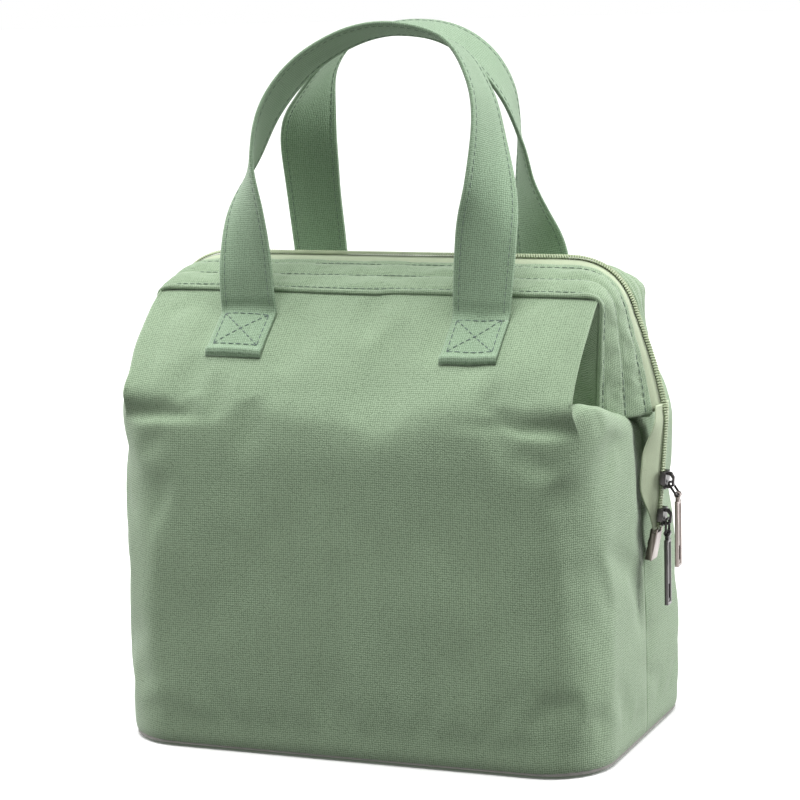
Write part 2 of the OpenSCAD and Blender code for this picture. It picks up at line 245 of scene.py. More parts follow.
def woven(name, colour, dark, pitch, relief=0.16, sheen=0.25, rough=0.82):
    """Plain-woven cloth, with painted shade: the dark colour fills the weave's hollows. The mesh's UV
    map holds the cloth's own millimetres.
    """
    look = Look(name)
    uv = look.node("UVMap", uv_map="cloth_mm")
    split = look.node("SeparateXYZ", {0: uv.outputs[0]})
    place = look.place()
    warble = look.noise(900, 1, place)
    along, across = (look.maths("MULTIPLY_ADD", split.outputs[k], 1 / pitch, warble) for k in (0, 1))
    wave_a, wave_b = (look.maths("SINE", look.maths("MULTIPLY", way, math.pi))
                      for way in (along, across))
    a, b = look.maths("ABSOLUTE", wave_a), look.maths("ABSOLUTE", wave_b)
    warp_up = look.maths("GREATER_THAN", look.maths("MULTIPLY", wave_a, wave_b), 0)
    pillow_a = look.maths("MULTIPLY", look.maths("POWER", a, 0.4), b)
    pillow_b = look.maths("MULTIPLY", a, look.maths("POWER", b, 0.4))
    height = look.node("Mix", {0: warp_up, 2: pillow_b, 3: pillow_a}).outputs[0]
    # tone from thread to thread and blotches; painted shade darkens the weave's hollows, so the high
    # threads stand lighter
    row = look.maths("MULTIPLY_ADD", warp_up, 517.0, look.maths("FLOOR", along))
    thread = look.node("TexWhiteNoise", {"W": row}, noise_dimensions="1D")
    fuzz = look.noise(2600, 2, place)
    blotch = look.noise(24, 4, place, 0.6)
    tone = look.maths("MULTIPLY_ADD", thread.outputs["Value"], 0.05,
                      look.maths("MULTIPLY", blotch, 0.16))
    tone = look.maths("ADD", look.maths("MULTIPLY_ADD", fuzz, 0.14, tone), 0.78)
    # painted shade: the low points of the weave take the dark colour
    weave_with_hollow_shade = look.mix(look.ramp(height, 0.05, 0.62), dark, colour)
    shaded = look.node("HueSaturation", {"Color": weave_with_hollow_shade, "Value": tone})
    # lighter, paler colour on the mesh's sharp edges and folds
    pale = tuple(min(1.0, c * 1.25 + 0.05) for c in colour)
    look.surface({"Base Color": look.mix(look.sharp_edge_mask(0.52, 0.60, 0.22), shaded.outputs[0], pale),
                  "Roughness": look.maths("MULTIPLY_ADD", blotch, 0.14, rough - 0.07),
                  "Sheen Weight": sheen, "Sheen Roughness": 0.45, "Specular IOR Level": 0.28})
    look.bump(look.maths("MULTIPLY_ADD", fuzz, 0.35, height), 0.75, relief * MM)
    return look.material


def thread_material(name, colour):
    """Twisted sewing thread, with painted shade: darker in the twist's grooves."""
    look = Look(name)
    twist = look.node("TexWave", {"Scale": 420, "Distortion": 1.5, "Vector": look.place()},
                      bands_direction="DIAGONAL").outputs["Fac"]
    # painted shade: the twist's grooves, low in the bump, take the darker colour
    look.surface({"Base Color": look.mix(twist, tuple(c * 0.6 for c in colour), colour),
                  "Roughness": look.maths("MULTIPLY_ADD", twist, 0.15, 0.5), "Sheen Weight": 0.2})
    look.bump(twist, 0.5, 0.0001)
    return look.material


def metal(name, colour, edge_colour, rough):
    """Plated metal with hairline scratches, handling marks and lighter colour on its sharp edges."""
    look = Look(name)
    place = look.place()
    squeeze = look.node("Mapping", {"Vector": place})
    squeeze.inputs["Scale"].default_value = (3, 9, 0.35)
    hair = look.noise(900, 2, squeeze.outputs[0])
    smear = look.noise(160, 4, place, 0.6)
    tone = look.mix(look.ramp(smear, 0.35, 0.7), colour, tuple(c * 0.75 for c in colour))
    level = look.maths("MULTIPLY_ADD", hair, 0.16,
                       look.maths("MULTIPLY_ADD", smear, 0.14, rough - 0.15))
    look.surface({"Base Color": look.mix(look.sharp_edge_mask(0.53, 0.62, 0.8), tone, edge_colour),
                  "Metallic": 1.0, "Roughness": level})
    look.bump(hair, 0.12, 0.00005)
    return look.material


def foil_material():
    """Crinkled aluminium film, with painted shade: darker along its creases."""
    look = Look("silver_foil")
    place = look.place()
    bent = look.node("TexNoise", {"Scale": 35, "Detail": 4, "Vector": place})
    shift = look.node("VectorMath", {0: bent.outputs["Color"], 2: place}, operation="MULTIPLY_ADD")
    shift.inputs[1].default_value = (0.02, 0.02, 0.02)
    crease = look.node("TexVoronoi", {"Scale": 70, "Vector": shift.outputs[0]},
                       feature="DISTANCE_TO_EDGE")
    fold = look.ramp(crease.outputs["Distance"], 0.0, 0.25)
    # painted shade: the foil darkens along the creases that the bump sinks
    look.surface({"Base Color": look.mix(fold, (0.52, 0.53, 0.55), (0.80, 0.81, 0.82)),
                  "Metallic": 0.85,
                  "Roughness": look.maths("MULTIPLY_ADD", bent.outputs["Fac"], 0.3, 0.2)})
    look.bump(fold, 0.55, 0.0012)
    return look.material


def moulded(name, colour, rough, grain_scale, relief, mottle=0.12):
    """Moulded or coarse uniform stuff: nylon, board and rubber."""
    look = Look(name)
    place = look.place()
    grain = look.noise(grain_scale, 3, place)
    cloud = look.noise(grain_scale / 12, 3, place)
    dark = tuple(c * (1 - 2 * mottle) for c in colour)
    look.surface({"Base Color": look.mix(look.ramp(cloud, 0.3, 0.7), dark, colour),
                  "Roughness": look.maths("MULTIPLY_ADD", grain, 0.2, rough - 0.1)})
    look.bump(grain, 0.4, relief * MM)
    return look.material


SAGE = (0.325, 0.435, 0.288)
# painted shade: the second colour given to each woven cloth is the dark painted into its hollows
SAGE_HOLLOW_SHADE = (0.138, 0.200, 0.120)
CLOTH = woven("oxford_cloth", SAGE, SAGE_HOLLOW_SHADE, 1.1)
STRAP = woven("oxford_strap", (0.305, 0.430, 0.290), (0.130, 0.200, 0.120), 1.0)
TAPE = woven("zip_tape_weave", (0.480, 0.555, 0.385), (0.31, 0.37, 0.24), 0.55, 0.06, 0.15, 0.7)
# painted shade: the stitch thread is much darker than the cloth, standing in for the shade that falls
# in the stitched grooves
SHADE_DARKENED_THREAD = thread_material("sage_thread_shade_darkened", (0.165, 0.240, 0.175))
DARK_THREAD = thread_material("grey_green_thread", (0.120, 0.180, 0.150))
COIL = moulded("nylon_coil", (0.430, 0.510, 0.320), 0.42, 900, 0.03)
GUNMETAL = metal("gunmetal_plate", (0.045, 0.042, 0.042), (0.16, 0.15, 0.15), 0.30)
NICKEL = metal("brushed_nickel", (0.190, 0.158, 0.145), (0.40, 0.35, 0.33), 0.34)
STEEL = metal("spring_steel", (0.42, 0.42, 0.44), (0.6, 0.6, 0.62), 0.36)
FOIL = foil_material()
BOARD = moulded("grey_board", (0.30, 0.29, 0.27), 0.85, 400, 0.2)
RUBBER = moulded("white_tip", (0.80, 0.80, 0.78), 0.55, 700, 0.05, 0.04)


# ---------- mesh helpers ----------

def mesh_object(name, points, faces, material, uv=None):
    """points in millimetres; uv, if given, is one place in cloth millimetres for each point."""
    mesh = bpy.data.meshes.new(name)
    mesh.from_pydata((np.asarray(points, float) * MM).tolist(), [], faces)
    if uv is not None:
        layer = mesh.uv_layers.new(name="cloth_mm")
        corner = np.zeros(len(mesh.loops), np.int32)
        mesh.loops.foreach_get("vertex_index", corner)
        layer.data.foreach_set("uv", np.asarray(uv, float)[corner].ravel())
    mesh.materials.append(material)
    mesh.polygons.foreach_set("use_smooth", [True] * len(mesh.polygons))
    mesh.update()
    return add_object(name, mesh)


def grid_faces(rows, cols, flip=False, wrap=False):
    faces = []
    for r in range(rows - 1):
        for c in range(cols if wrap else cols - 1):
            d = (c + 1) % cols
            quad = (r * cols + c, r * cols + d, (r + 1) * cols + d, (r + 1) * cols + c)
            faces.append(quad[::-1] if flip else quad)
    return faces


def cloth_uv(grid):
    """Cloth millimetres of a grid of points: lengths along its rows and up its columns."""
    across = np.linalg.norm(np.diff(grid, axis=1), axis=2)
    u = np.concatenate([np.zeros((grid.shape[0], 1)), np.cumsum(across, axis=1)], axis=1)
    u -= u[:, [grid.shape[1] // 2]]
    up = np.linalg.norm(np.diff(grid, axis=0), axis=2)
    v = np.concatenate([np.zeros((1, grid.shape[1])), np.cumsum(up, axis=0)], axis=0)
    return np.stack([u, v], axis=2).reshape(-1, 2)


def grid_object(name, grid, material, flip=False):
    faces = grid_faces(*grid.shape[:2], flip)
    return mesh_object(name, grid.reshape(-1, 3), faces, material, cloth_uv(grid))


def add_modifier(piece, kind, **settings):
    modifier = piece.modifiers.new(kind.lower(), kind)
    for key, value in settings.items():
        setattr(modifier, key, value)
    return modifier


def apply_modifiers(piece):
    dg = bpy.context.evaluated_depsgraph_get()
    mesh = bpy.data.meshes.new_from_object(piece.evaluated_get(dg))
    piece.modifiers.clear()
    old, piece.data = piece.data, mesh
    mesh.name = piece.name
    bpy.data.meshes.remove(old)


def grid_normals(grid):
    along = np.gradient(grid, axis=1)
    up = np.gradient(grid, axis=0)
    n = np.cross(along, up)
    return n / np.maximum(np.linalg.norm(n, axis=2, keepdims=True), 1e-9)


SETTLE_FRAMES = 14


def settle(piece, pins, pressure, limit):
    """A short cloth simulation blows the padding up between its seams.

    pins holds one weight for each point, 1 where it is sewn down. No point goes further than
    limit, in millimetres.
    """
    scene = bpy.context.scene
    count = len(piece.data.vertices)
    start = np.empty(count * 3)
    piece.data.vertices.foreach_get("co", start)
    group = piece.vertex_groups.new(name="sewn")
    for index in range(count):
        group.add([index], float(pins[index]), "REPLACE")
    cloth = piece.modifiers.new("settle", "CLOTH")
    cloth.point_cache.frame_start, cloth.point_cache.frame_end = 1, SETTLE_FRAMES
    cloth.collision_settings.use_collision = False
    set_up = cloth.settings
    set_up.quality = 8
    set_up.mass = 0.3
    set_up.tension_stiffness = set_up.compression_stiffness = 20
    set_up.shear_stiffness = 12
    set_up.bending_stiffness = 4
    set_up.air_damping = 2
    set_up.use_pressure = True
    set_up.uniform_pressure_force = pressure
    set_up.shrink_min = -0.012
    set_up.effector_weights.gravity = 0
    set_up.vertex_group_mass = "sewn"
    for step in range(1, SETTLE_FRAMES + 1):
        scene.frame_set(step)
    settled = piece.evaluated_get(bpy.context.evaluated_depsgraph_get())
    end = np.empty(count * 3)
    settled.data.vertices.foreach_get("co", end)
    move = np.nan_to_num((end - start).reshape(-1, 3))
    far = np.linalg.norm(move, axis=1, keepdims=True)
    cap = limit * MM
    move *= cap * np.tanh(far / cap) / np.maximum(far, 1e-9)
    piece.modifiers.remove(cloth)
    piece.vertex_groups.remove(group)
    piece.data.vertices.foreach_set("co", (start.reshape(-1, 3) + move).ravel())
    piece.data.update()
    scene.frame_set(1)


def ripple(points, size, seed):
    """Smooth noise, about -1 to 1, with hollows of that size in millimetres."""
    flat = np.asarray(points, float).reshape(-1, 3) / size + np.array([seed * 7.3, seed * 3.1, seed])
    values = [noise.noise(Vector(p)) for p in flat]
    return np.array(values).reshape(np.asarray(points).shape[:-1])


def smoothstep(low, high, x):
    t = np.clip((x - low) / (high - low), 0, 1)
    return t * t * (3 - 2 * t)


def unit(v):
    return v / np.linalg.norm(v, axis=-1, keepdims=True)


def lengths(line):
    """Length along a line of points, at each of them."""
    return np.concatenate([[0], np.cumsum(np.linalg.norm(np.diff(line, axis=0), axis=1))])


def sample(values, run, at):
    """Rows of values known at the lengths run, read at other lengths."""
    return np.stack([np.interp(at, run, values[:, k]) for k in range(values.shape[1])], axis=1)


def spline(points, counts):
    """Catmull-Rom curve through the points (first axis), with that many steps in each span."""
    points = np.asarray(points, float)
    n = len(points) - 1
    out = []
    for i in range(n):
        a, b = points[max(i - 1, 0)], points[i]
        c, d = points[i + 1], points[min(i + 2, n)]
        if i == 0:
            a = 2 * b - c
        if i == n - 1:
            d = 2 * c - b
        for k in range(counts[i]):
            t = k / counts[i]
            out.append(0.5 * (2 * b + (c - a) * t + (2 * a - 5 * b + 4 * c - d) * t * t
                              + (3 * b - a - 3 * c + d) * t ** 3))
    out.append(points[-1])
    return np.array(out)


def resample(line, count):
    """The same open line with points at equal steps."""
    line = np.asarray(line, float)
    run = lengths(line)
    return sample(line, run, np.linspace(0, run[-1], count))


def bezier(a, b, c, steps):
    t = np.linspace(0, 1, steps)[:, None]
    a, b, c = (np.array(p, float) for p in (a, b, c))
    return (1 - t) ** 2 * a + 2 * t * (1 - t) * b + t ** 2 * c


THREAD_PROFILE = ((0.0, -0.3, 0.25), (0.13, 0.2, 0.85), (0.35, 0.45, 1.0), (0.65, 0.45, 1.0),
                  (0.87, 0.2, 0.85), (1.0, -0.3, 0.25))
TOOTH_PROFILE = ((0.0, 0.0, 0.45), (0.10, 0.0, 0.95), (0.62, 0.0, 0.95), (0.76, 0.1, 1.25),
                 (0.92, 0.1, 1.2), (1.0, 0.0, 0.55))


def capsules(name, starts, ends, ups, radius, material, profile=THREAD_PROFILE, sides=6):
    """Short rounded bars as one mesh. The profile lists place along, lift and width of each ring."""
    starts, ends, ups = (np.asarray(v, float) for v in (starts, ends, ups))
    along = ends - starts
    side = unit(np.cross(along, ups))
    rise = unit(np.cross(side, along))
    angles = 2 * math.pi * np.arange(sides) / sides
    rings = []
    for place, lift, wide in profile:
        middle = starts + along * place + rise * radius * lift
        round_it = (side[:, None] * np.cos(angles)[None, :, None]
                    + rise[:, None] * np.sin(angles)[None, :, None])
        rings.append(middle[:, None] + radius * wide * round_it)
    points = np.stack(rings, axis=1)
    count, layers = points.shape[:2]
    one = grid_faces(layers, sides, wrap=True)
    caps = [tuple(range(sides))[::-1], tuple((layers - 1) * sides + m for m in range(sides))]
    size = layers * sides
    faces = [tuple(i + k * size for i in f) for k in range(count) for f in one + caps]
    return mesh_object(name, points.reshape(-1, 3), faces, material)


def along_line(line, normals, length, gap):
    """Starts, ends and normals of the stitches along one row."""
    line, normals = np.asarray(line, float), np.asarray(normals, float)
    run = lengths(line)
    count = max(1, int((run[-1] + gap) / (length + gap)))
    step = (run[-1] + gap) / count
    begin = np.arange(count) * step
    return (sample(line, run, begin), sample(line, run, begin + step - gap),
            sample(normals, run, begin + step / 2))


def stitches(name, runs, material, length=2.9, gap=0.75, radius=0.26):
    """Lockstitch threads along rows. A run is (points, normals)."""
    found = [along_line(line, normals, length, gap) for line, normals in runs]
    starts, ends, ups = (np.concatenate([f[k] for f in found]) for k in range(3))
    return capsules(name, starts, ends, ups, radius, material)


# ---------- outer cloth ----------

SEAM_FOOT, SEAM_BEND, SEAM_CORNER, SEAM_TOP = ((113, FOOT_Z), (115.6, SEAM_Z - 8),
                                               (116.9, SEAM_Z + 0.2), (107, SEAM_Z + 0.2))
ZIP_FOOT, ZIP_BEND, ZIP_CORNER, ZIP_TOP = ((137, FOOT_Z), (122, RIDGE_Z - 25),
                                           (114, RIDGE_Z), (88, RIDGE_Z))


def half_edge(foot, bend, corner, top):
    """Right half of a mouth edge in XZ, from its foot to the middle of the bag."""
    leg = np.linspace(foot, bend, 12)[:-1]
    return np.concatenate([leg, bezier(bend, corner, top, 14), [(0, top[1])]])


SEAM_LINE = half_edge(SEAM_FOOT, SEAM_BEND, SEAM_CORNER, SEAM_TOP)
LEG_COUNT = 11 + 7                      # points of that line up to the middle of its corner


def plan_path(distance, radius, inset):
    """Place along the rounded outline, from the middle of the front to the middle of the side."""
    w, d, r = HALF_W - inset, HALF_D - inset, max(radius - inset, 1.0)
    arc = r * math.pi / 2
    if distance <= w - r:
        return distance, -d
    if distance <= w - r + arc:
        a = (distance - w + r) / r
        return w - r + r * math.sin(a), -d + r - r * math.cos(a)
    return w, -d + r + distance - (w - r + arc)


def wall_point(front, share, z, inset=0.0):
    """share 0 to 1 runs from the middle of the front to the corner, or from the corner to the zip."""
    radius = BASE_R + (FOLD_R - BASE_R) * min(z / FOLD_TOP, 1)
    inner = max(radius - inset, 1.0)
    half_arc = inner * math.pi / 4
    straight = HALF_W - inset - inner
    if front:
        distance = share * (straight + half_arc)
    else:
        distance = straight + half_arc + share * (half_arc + HALF_D - inset - inner)
    x, y = plan_path(distance, radius, inset)
    return np.array([x, y, z])


CREST_RISE, CREST_END = 22.5, 81        # from the zip to the corner fold


def crest(y):
    """Height of the rounded fold at the top of the side, at that place from front to back."""
    return SIDE_Z + CREST_RISE * (min(abs(y), CREST_END) / CREST_END) ** 0.85


CREASE = [(116.6, -75.2, 164.5), (115.8, -77.8, 168.6), (115.5, -79.4, 172.0), (116.0, -79.2, 175.6),
          (116.7, -77.0, 179.4), (117.6, -67.6, 190.2), (117.0, -48.8, 207.0), (114.5, -32.6, 218.8)]
RIDGE = [(-81.0, 165.5), (-79.9, 170.2), (-77.8, 175.2), (-74.6, 180.2), (-70.2, 185.6),
         (-60.0, 196.0), (-46.0, 208.4), (-31.8, 219.9)]
SPANS = (3, 2, 2, 2, 2, 5, 6, 6)
FRONT_COLS, SIDE_COLS, WALL_ROWS = 30, 24, 34
SEAM_STEPS = 60
CORNER_Y = -77.3                        # the corner fold at the top of the wall
HEM = ((10.0, 0.05), (5.5, 0.05), (2.4, 0.6), (0.8, 2.4), (0.1, 5.5))


def on_seam(part, share):
    """Place in XZ at that share of a part of the seam, counted from its far end."""
    line = resample(part[::-1], SEAM_STEPS)
    return line[min(int(share * (SEAM_STEPS - 1)), SEAM_STEPS - 1)]


def seam_point(share):
    """Where the roof meets the band: 0 in the middle of the bag, 1 at the corner."""
    x, z = on_seam(SEAM_LINE[LEG_COUNT - 1:], share)
    return np.array([x, -SEAM_Y + 1.2, z - 0.9])


def leg_point(share):
    """Where the cheek meets the band's leg: 0 at the corner, 1 at the leg's foot."""
    x, z = on_seam(SEAM_LINE[:LEG_COUNT], share)
    return np.array([x - 1.5, -SEAM_Y + 1.0, z])


def front_controls(share, start):
    edge = np.array(CREASE)
    middle = np.array([(edge[i][0] * share, *RIDGE[i]) for i in range(8)])
    edge_like = np.array([(p[0] * share, p[1], p[2]) for p in edge])
    near = share ** 3
    points = middle * (1 - near) + edge_like * near
    seam = seam_point(share)
    points[7] = seam * (1 - near) + np.array(CREASE[7]) * near
    return np.concatenate([[start], points])


LEG_SHARE = 0.586                       # the band's leg stands at this part of the side


def side_controls(share, start):
    y = start[1]
    top = crest(y)
    edge = start[0]
    shelf = np.array([(edge - 0.2, y, top - 10), (edge - 1.5, y, top - 4.2), (edge - 4.2, y, top - 0.8),
                      (edge - 8.6, y, top - 0.4), (edge - 14.0, y * 0.985, top - 4.0)])
    deep = 1 - math.exp(-share / 0.035)
    valley = np.array([104.5 + 7 * share ** 2, y * 0.97, top - 9.0])
    if share <= LEG_SHARE:
        end = leg_point(share / LEG_SHARE)
    else:
        t = (share - LEG_SHARE) / (1 - LEG_SHARE)
        end = np.array([111.5 + 7.5 * t, (-SEAM_Y + 1) * (1 - t) - 0.1 * t, FOOT_Z + 3 * t])
    low = np.array(CREASE[4]) * (1 - deep) + valley * deep
    inward = 10.5 * deep * max(0.0, 1 - (share / LEG_SHARE) ** 2)
    cheek = [low + (end - low) * f - np.array([inward * g, 0, 0]) for f, g in ((0.3, 1.0), (0.68, 0.8))]
    blend = smoothstep(0, np.array([0.12, 0.11, 0.10, 0.06, 0.04]), share)[:, None]
    rolled = np.array(CREASE[:5]) * (1 - blend) + shelf * blend
    return np.concatenate([[start], rolled, cheek, [end]])


def dent(point):
    """A soft groove runs down the middle of the side, under the zip's tail."""
    x, y, z = point
    drop = math.exp(-((z - 118) / 36) ** 2) * math.exp(-(y / 15) ** 2)
    return np.array([x - 1.8 * drop, y, z])


def quarter_shell():
    """Grid of the right front quarter: rows from the hem up, columns from the middle to the zip."""
    columns = [(True, j / FRONT_COLS) for j in range(FRONT_COLS)]
    columns += [(False, (j / SIDE_COLS) ** 1.3) for j in range(SIDE_COLS + 1)]
    lines = []
    for front, share in columns:
        foot = [wall_point(front, share, z, inset) for inset, z in HEM]
        y = wall_point(front, share, WALL_Z)[1]
        top = WALL_Z
        if not front:
            top += crest(y) - crest(CORNER_Y) + 0.6 * smoothstep(0, 0.2, share)
        low = HEM[-1][1]
        wall = [wall_point(front, share, low + (top - low) * k / WALL_ROWS)
                for k in range(1, WALL_ROWS + 1)]
        start = wall[-1]
        controls = front_controls(share, start) if front else side_controls(share, start)
        upper = spline(controls, SPANS)[1:]
        line = np.array(foot + wall + list(upper))
        lines.append(line if front else np.array([dent(p) for p in line]))
    return np.array(lines).transpose(1, 0, 2)


def half_shell():
    right = quarter_shell()
    left = right[:, :0:-1] * np.array([-1, 1, 1])
    return np.concatenate([left, right], axis=1)


# by the front's and the back's seed: left and right, each for the wall, the fold and the roof
LEAN_IN = {1: ((3.5, 2.0, -2.5), (1.0, 0.0, 0.0)), 5: ((3.5, 2.5, 0.0), (3.5, 8.5, 3.0))}


def lean_in(x, y, z, seed):
    """How far the slack corners lean in: for left and right, on the wall, the fold and the roof."""
    rise = smoothstep(35, 140, z) * smoothstep(176, 148, z)
    fold = smoothstep(148, 176, z) * smoothstep(216, 184, z)
    roof = smoothstep(180, 197, z) * smoothstep(226, 211, z)
    wall, knee, upper = [np.where(x < 0, a, b) for a, b in zip(*LEAN_IN[seed])]
    share = smoothstep(30, 112, np.abs(x)) * smoothstep(14, 52, np.abs(y))
    return (wall * rise + knee * fold + upper * roof) * share


def belly(grid, seed):
    """Bulge, sag and soft hollows of the padded walls and roof. Edges at seams stay put."""
    out = grid.copy()
    normal = grid_normals(grid)
    x, y, z = grid[..., 0], grid[..., 1], grid[..., 2]
    rows = np.arange(grid.shape[0])[:, None] / (grid.shape[0] - 1)
    hem = smoothstep(0, 60, z)
    seam = smoothstep(1.0, 0.9, rows)
    front = smoothstep(0.75, 0.98, -normal[..., 1]) * (1 - (x / 128) ** 2)
    bulge = 2.6 * front * np.sin(np.clip(z / 185, 0, 1) * math.pi) ** 0.7
    big = ripple(grid, 75, seed) * 1.2 + ripple(grid, 34, seed + 4) * 0.6
    small = ripple(grid, 15, seed + 9) * 0.28
    lean = ripple(grid * np.array([1.0, 1.0, 0.35]), 26, seed + 2) * 0.7
    fold = np.exp(-((z - 176) / 16) ** 2)
    amount = bulge + (big + small + lean * (0.35 + fold)) * hem * seam
    middle = smoothstep(0, 7, np.abs(y))
    amount = amount * np.where(np.abs(x) > 100, 0.25 + 0.75 * middle, 1)
    slack = (np.exp(-((x - 8) / 52) ** 2) * np.exp(-((z - 176) / 17) ** 2)
             * smoothstep(-40, -60, y))
    out += normal * (amount - 5.0 * slack)[..., None]
    out[..., 0] -= np.sign(x) * lean_in(x, y, z, seed)
    out[..., 1] = np.where(np.abs(y) < 0.2, y, out[..., 1])
    out[..., 2] = np.maximum(out[..., 2], 0.02)
    return out


def flip_side(grid, hand):
    """The back half is the front half seen in a mirror."""
    return grid * np.array([1, hand, 1])


def bend_with_frame(piece):
    """Bakes the piece's placement into its mesh."""
    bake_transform(piece)


def make_shell(side, seed):
    grid = flip_side(belly(half_shell(), seed), HAND[side])
    piece = grid_object(f"{side}_cloth", grid, CLOTH, flip=HAND[side] < 0)
    rows, cols = grid.shape[:2]
    row, col = np.mgrid[0:rows, 0:cols]
    from_corner = np.abs(np.abs(col - cols // 2) - FRONT_COLS)
    sewn = (row < len(HEM) + 2) | (row > rows - 3) | (col < 1) | (col > cols - 2)
    stiff = (from_corner < 5) & (row > len(HEM) + WALL_ROWS - 3)
    settle(piece, np.where(sewn, 1.0, np.where(stiff, 0.9, 0.0)).ravel(), 1.0, 1.3)
    add_modifier(piece, "SUBSURF", levels=1, render_levels=1)
    apply_modifiers(piece)
    add_modifier(piece, "SOLIDIFY", thickness=1.1 * MM, offset=-1)
    apply_modifiers(piece)
    bend_with_frame(piece)
    return piece


FOLD_PASSES = 3


def near_fold(point):
    return abs(point.x) >= 70 and 148 < point.z < 221 and point.y <= -8


def keep_inside(inner, outer, room=2.5):
    """Keeps the lining's points inside the cloth, and says which ones fit in the corner folds.

    The foil stops short of the sharp end of each corner fold, where the cloth lies on itself.
    """
    tree = BVHTree.FromPolygons([Vector(p) for p in outer.reshape(-1, 3)],
                                grid_faces(*outer.shape[:2]))
    facing = tree.find_nearest(Vector((0, -90, 90)))[1]
    way = -1 if facing.y > 0 else 1
    points = [Vector(p) for p in inner.reshape(-1, 3)]
    inside = np.ones(len(points), bool)
    for step in range(FOLD_PASSES + 1):
        for i, point in enumerate(points):
            if not near_fold(point):
                continue
            near, normal = tree.find_nearest(point)[:2]
            height = (point - near).dot(normal) * way
            inside[i] = height < -room * 0.6
            if height > -room and step < FOLD_PASSES:
                points[i] = point + normal * way * (-room - height)
    return np.array([p[:] for p in points]).reshape(inner.shape), inside.reshape(inner.shape[:2])


def make_lining(side, seed):
    """Foil inside the padded walls and roof; the foam lies between it and the cloth."""
    grid = belly(half_shell(), seed)[len(HEM):]
    rows = np.arange(grid.shape[0])[:, None]
    upper = smoothstep(WALL_ROWS - 8, WALL_ROWS + 1, rows)
    from_middle = np.abs(np.arange(grid.shape[1]) - grid.shape[1] // 2)[None, :]
    cheek = smoothstep(FRONT_COLS - 2, FRONT_COLS + 5, from_middle) * upper
    crease = np.exp(-((from_middle - FRONT_COLS) / 3.5) ** 2) * upper
    depth = 5.6 - 2.6 * cheek
    inner = grid - grid_normals(grid) * (depth * (1 - crease))[..., None]
    tuck = np.full(grid.shape, (0, 3.0, -5.5))
    tuck[..., 0] = -8.5 * np.sign(grid[..., 0])
    inner += tuck * crease[..., None]
    for _ in range(5):
        middle = (inner[:-2, 1:-1] + inner[2:, 1:-1] + inner[1:-1, :-2] + inner[1:-1, 2:]) / 4
        soft = np.maximum(cheek, crease)[1:-1, 1:-1, None]
        inner[1:-1, 1:-1] += 0.5 * (middle - inner[1:-1, 1:-1]) * soft
    inner[-1] += np.array([0, 0, -3.0])
    inner[..., 1] = np.minimum(inner[..., 1], -0.1)
    inner[0, :, 2] = 7.4
    inner += grid_normals(inner) * (ripple(inner, 9, seed + 3) * 0.22)[..., None]
    inner, kept = keep_inside(inner, belly(half_shell(), seed))
    inner = flip_side(inner, HAND[side])
    kept_list = kept.ravel()
    faces = [face for face in grid_faces(*kept.shape, HAND[side] < 0)
             if all(kept_list[i] for i in face)]
    used = sorted({i for face in faces for i in face})
    place = {old: new for new, old in enumerate(used)}
    faces = [tuple(place[i] for i in face) for face in faces]
    points = inner.reshape(-1, 3)[used]
    piece = mesh_object(f"{side}_foil_lining", points, faces, FOIL, cloth_uv(inner)[used])
    add_modifier(piece, "SOLIDIFY", thickness=0.5 * MM, offset=-1)
    apply_modifiers(piece)
    bend_with_frame(piece)
    return piece


def outline_disc(name, inset, z, material, puff=0.0, seed=0):
    """A panel with the bag's rounded outline at its foot, as rings shrinking to its middle line."""
    quarter = [wall_point(True, k / 16, 0, inset)[:2] for k in range(16)]
    quarter += [wall_point(False, k / 12, 0, inset)[:2] for k in range(13)]
    quarter = np.array(quarter)
    right = np.concatenate([quarter, quarter[-2::-1] * [1, -1]])
    loop = np.concatenate([right, right[-2:0:-1] * [-1, 1]])
    spread = np.linspace(1, 0.02, 18)
    spine = np.clip(loop[:, 0], -(HALF_W - HALF_D), HALF_W - HALF_D)
    rings = []
    for f in spread:
        x = spine + (loop[:, 0] - spine) * f
        rings.append(np.stack([x, loop[:, 1] * f, np.full(len(loop), z)], axis=1))
    grid = np.array(rings)
    rim = smoothstep(1.0, 0.8, spread)[:, None]
    grid[..., 2] += (ripple(grid, 22, seed) * puff) * rim
    rows, cols = grid.shape[:2]
    faces = grid_faces(rows, cols, wrap=True)
    last = (rows - 1) * cols
    faces.append(tuple(last + c for c in range(cols)))
    uv = grid.reshape(-1, 3)[:, :2]
    piece = mesh_object(name, grid.reshape(-1, 3), faces, material, uv)
    add_modifier(piece, "SOLIDIFY", thickness=0.6 * MM, offset=1)
    apply_modifiers(piece)
    return piece


# ---------- mouth band and zip ----------

def edge_points(foot, bend, corner, top, bow=0.0):
    """Half of a mouth edge as 22 leg points, 18 corner points and 26 points of straight top."""
    leg = np.linspace(foot, bend, 23)[:-1]
    leg[:, 0] += bow * np.sin(np.linspace(0, math.pi, 22))
    turn = bezier(bend, corner, top, 19)[:-1]
    flat = np.linspace(top, (0, top[1]), 27)
    return np.concatenate([leg, turn, flat])


def both_halves(half):
    return np.concatenate([half, half[-2::-1] * [-1, 1]])


BAND_SEAM = both_halves(edge_points(SEAM_FOOT, SEAM_BEND, SEAM_CORNER, SEAM_TOP))
BAND_ZIP = both_halves(edge_points(ZIP_FOOT, ZIP_BEND, ZIP_CORNER, ZIP_TOP, 1.2))


def mouth_points(v, depth):
    """Points round the mouth at one place v on the band (0 seam, 1 zip) and one depth under it.

    v and depth may be one number or one for each point. Depth is measured towards the bag's inside.
    """
    v = np.broadcast_to(np.asarray(v, float), len(BAND_SEAM))[:, None]
    depth = np.broadcast_to(np.asarray(depth, float), len(BAND_SEAM))[:, None]
    line = BAND_SEAM * (1 - v) + BAND_ZIP * v
    run = unit(np.gradient(line, axis=0))
    inward = np.stack([-run[:, 1], run[:, 0]], axis=1)
    line = line + inward * depth
    y = -SEAM_Y * (1 - v[:, 0])
    return np.stack([line[:, 0], y, line[:, 1]], axis=1)


BAND_ROWS = (0.055, 0.38, 0.675)        # stitched rows


